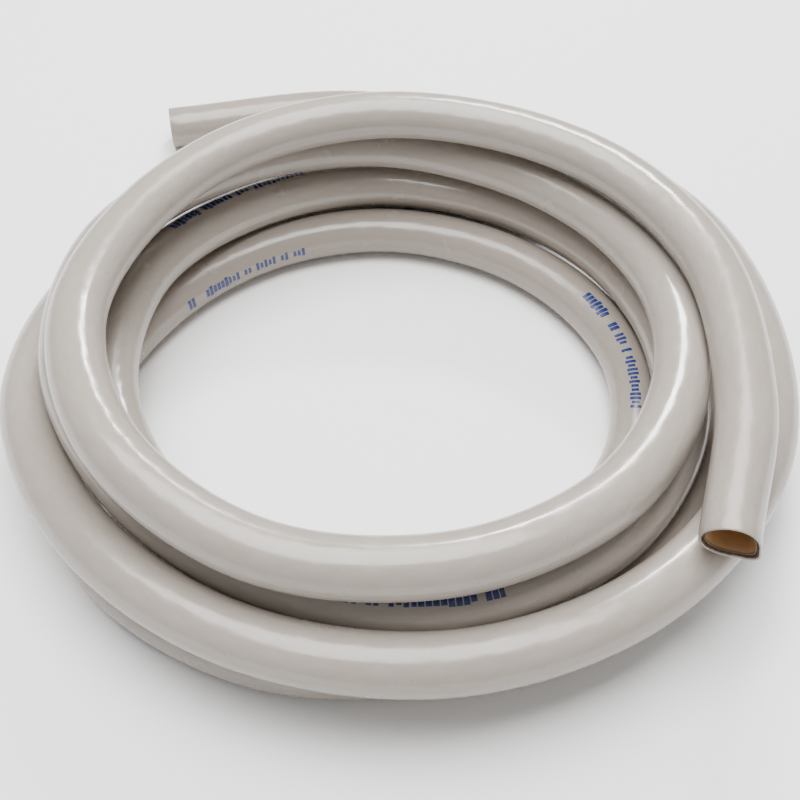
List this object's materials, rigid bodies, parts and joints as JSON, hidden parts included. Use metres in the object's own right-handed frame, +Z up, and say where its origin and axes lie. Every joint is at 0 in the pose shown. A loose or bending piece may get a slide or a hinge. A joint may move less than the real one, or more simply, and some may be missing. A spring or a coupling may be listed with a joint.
{
  "type": "vacuum hose",
  "caption": "Flexible reinforced suction hose in a loose coil: a glossy cover over a yarn braid and a soft liner, both ends cut square for a cuff or a barbed fitting.",
  "frame": {"origin": "middle of the coil's footprint, on the surface that the coil lies on", "axes": "+Z up out of the coil, +Y across its longest extent, towards the side where the low cut end lies; the coil winds clockwise seen from above"},
  "size_m": [0.4082, 0.4736, 0.1018],
  "materials": {
    "cover": "glossy warm off-white PVC, faintly rippled by the braid under it",
    "yarn": "dull tan polyester yarn",
    "liner": "soft amber-brown PVC"
  },
  "bodies": {
    "root": {"outer_cover": "cover", "yarn_braid": "yarn", "inner_liner": "liner"}
  },
  "joints": []
}
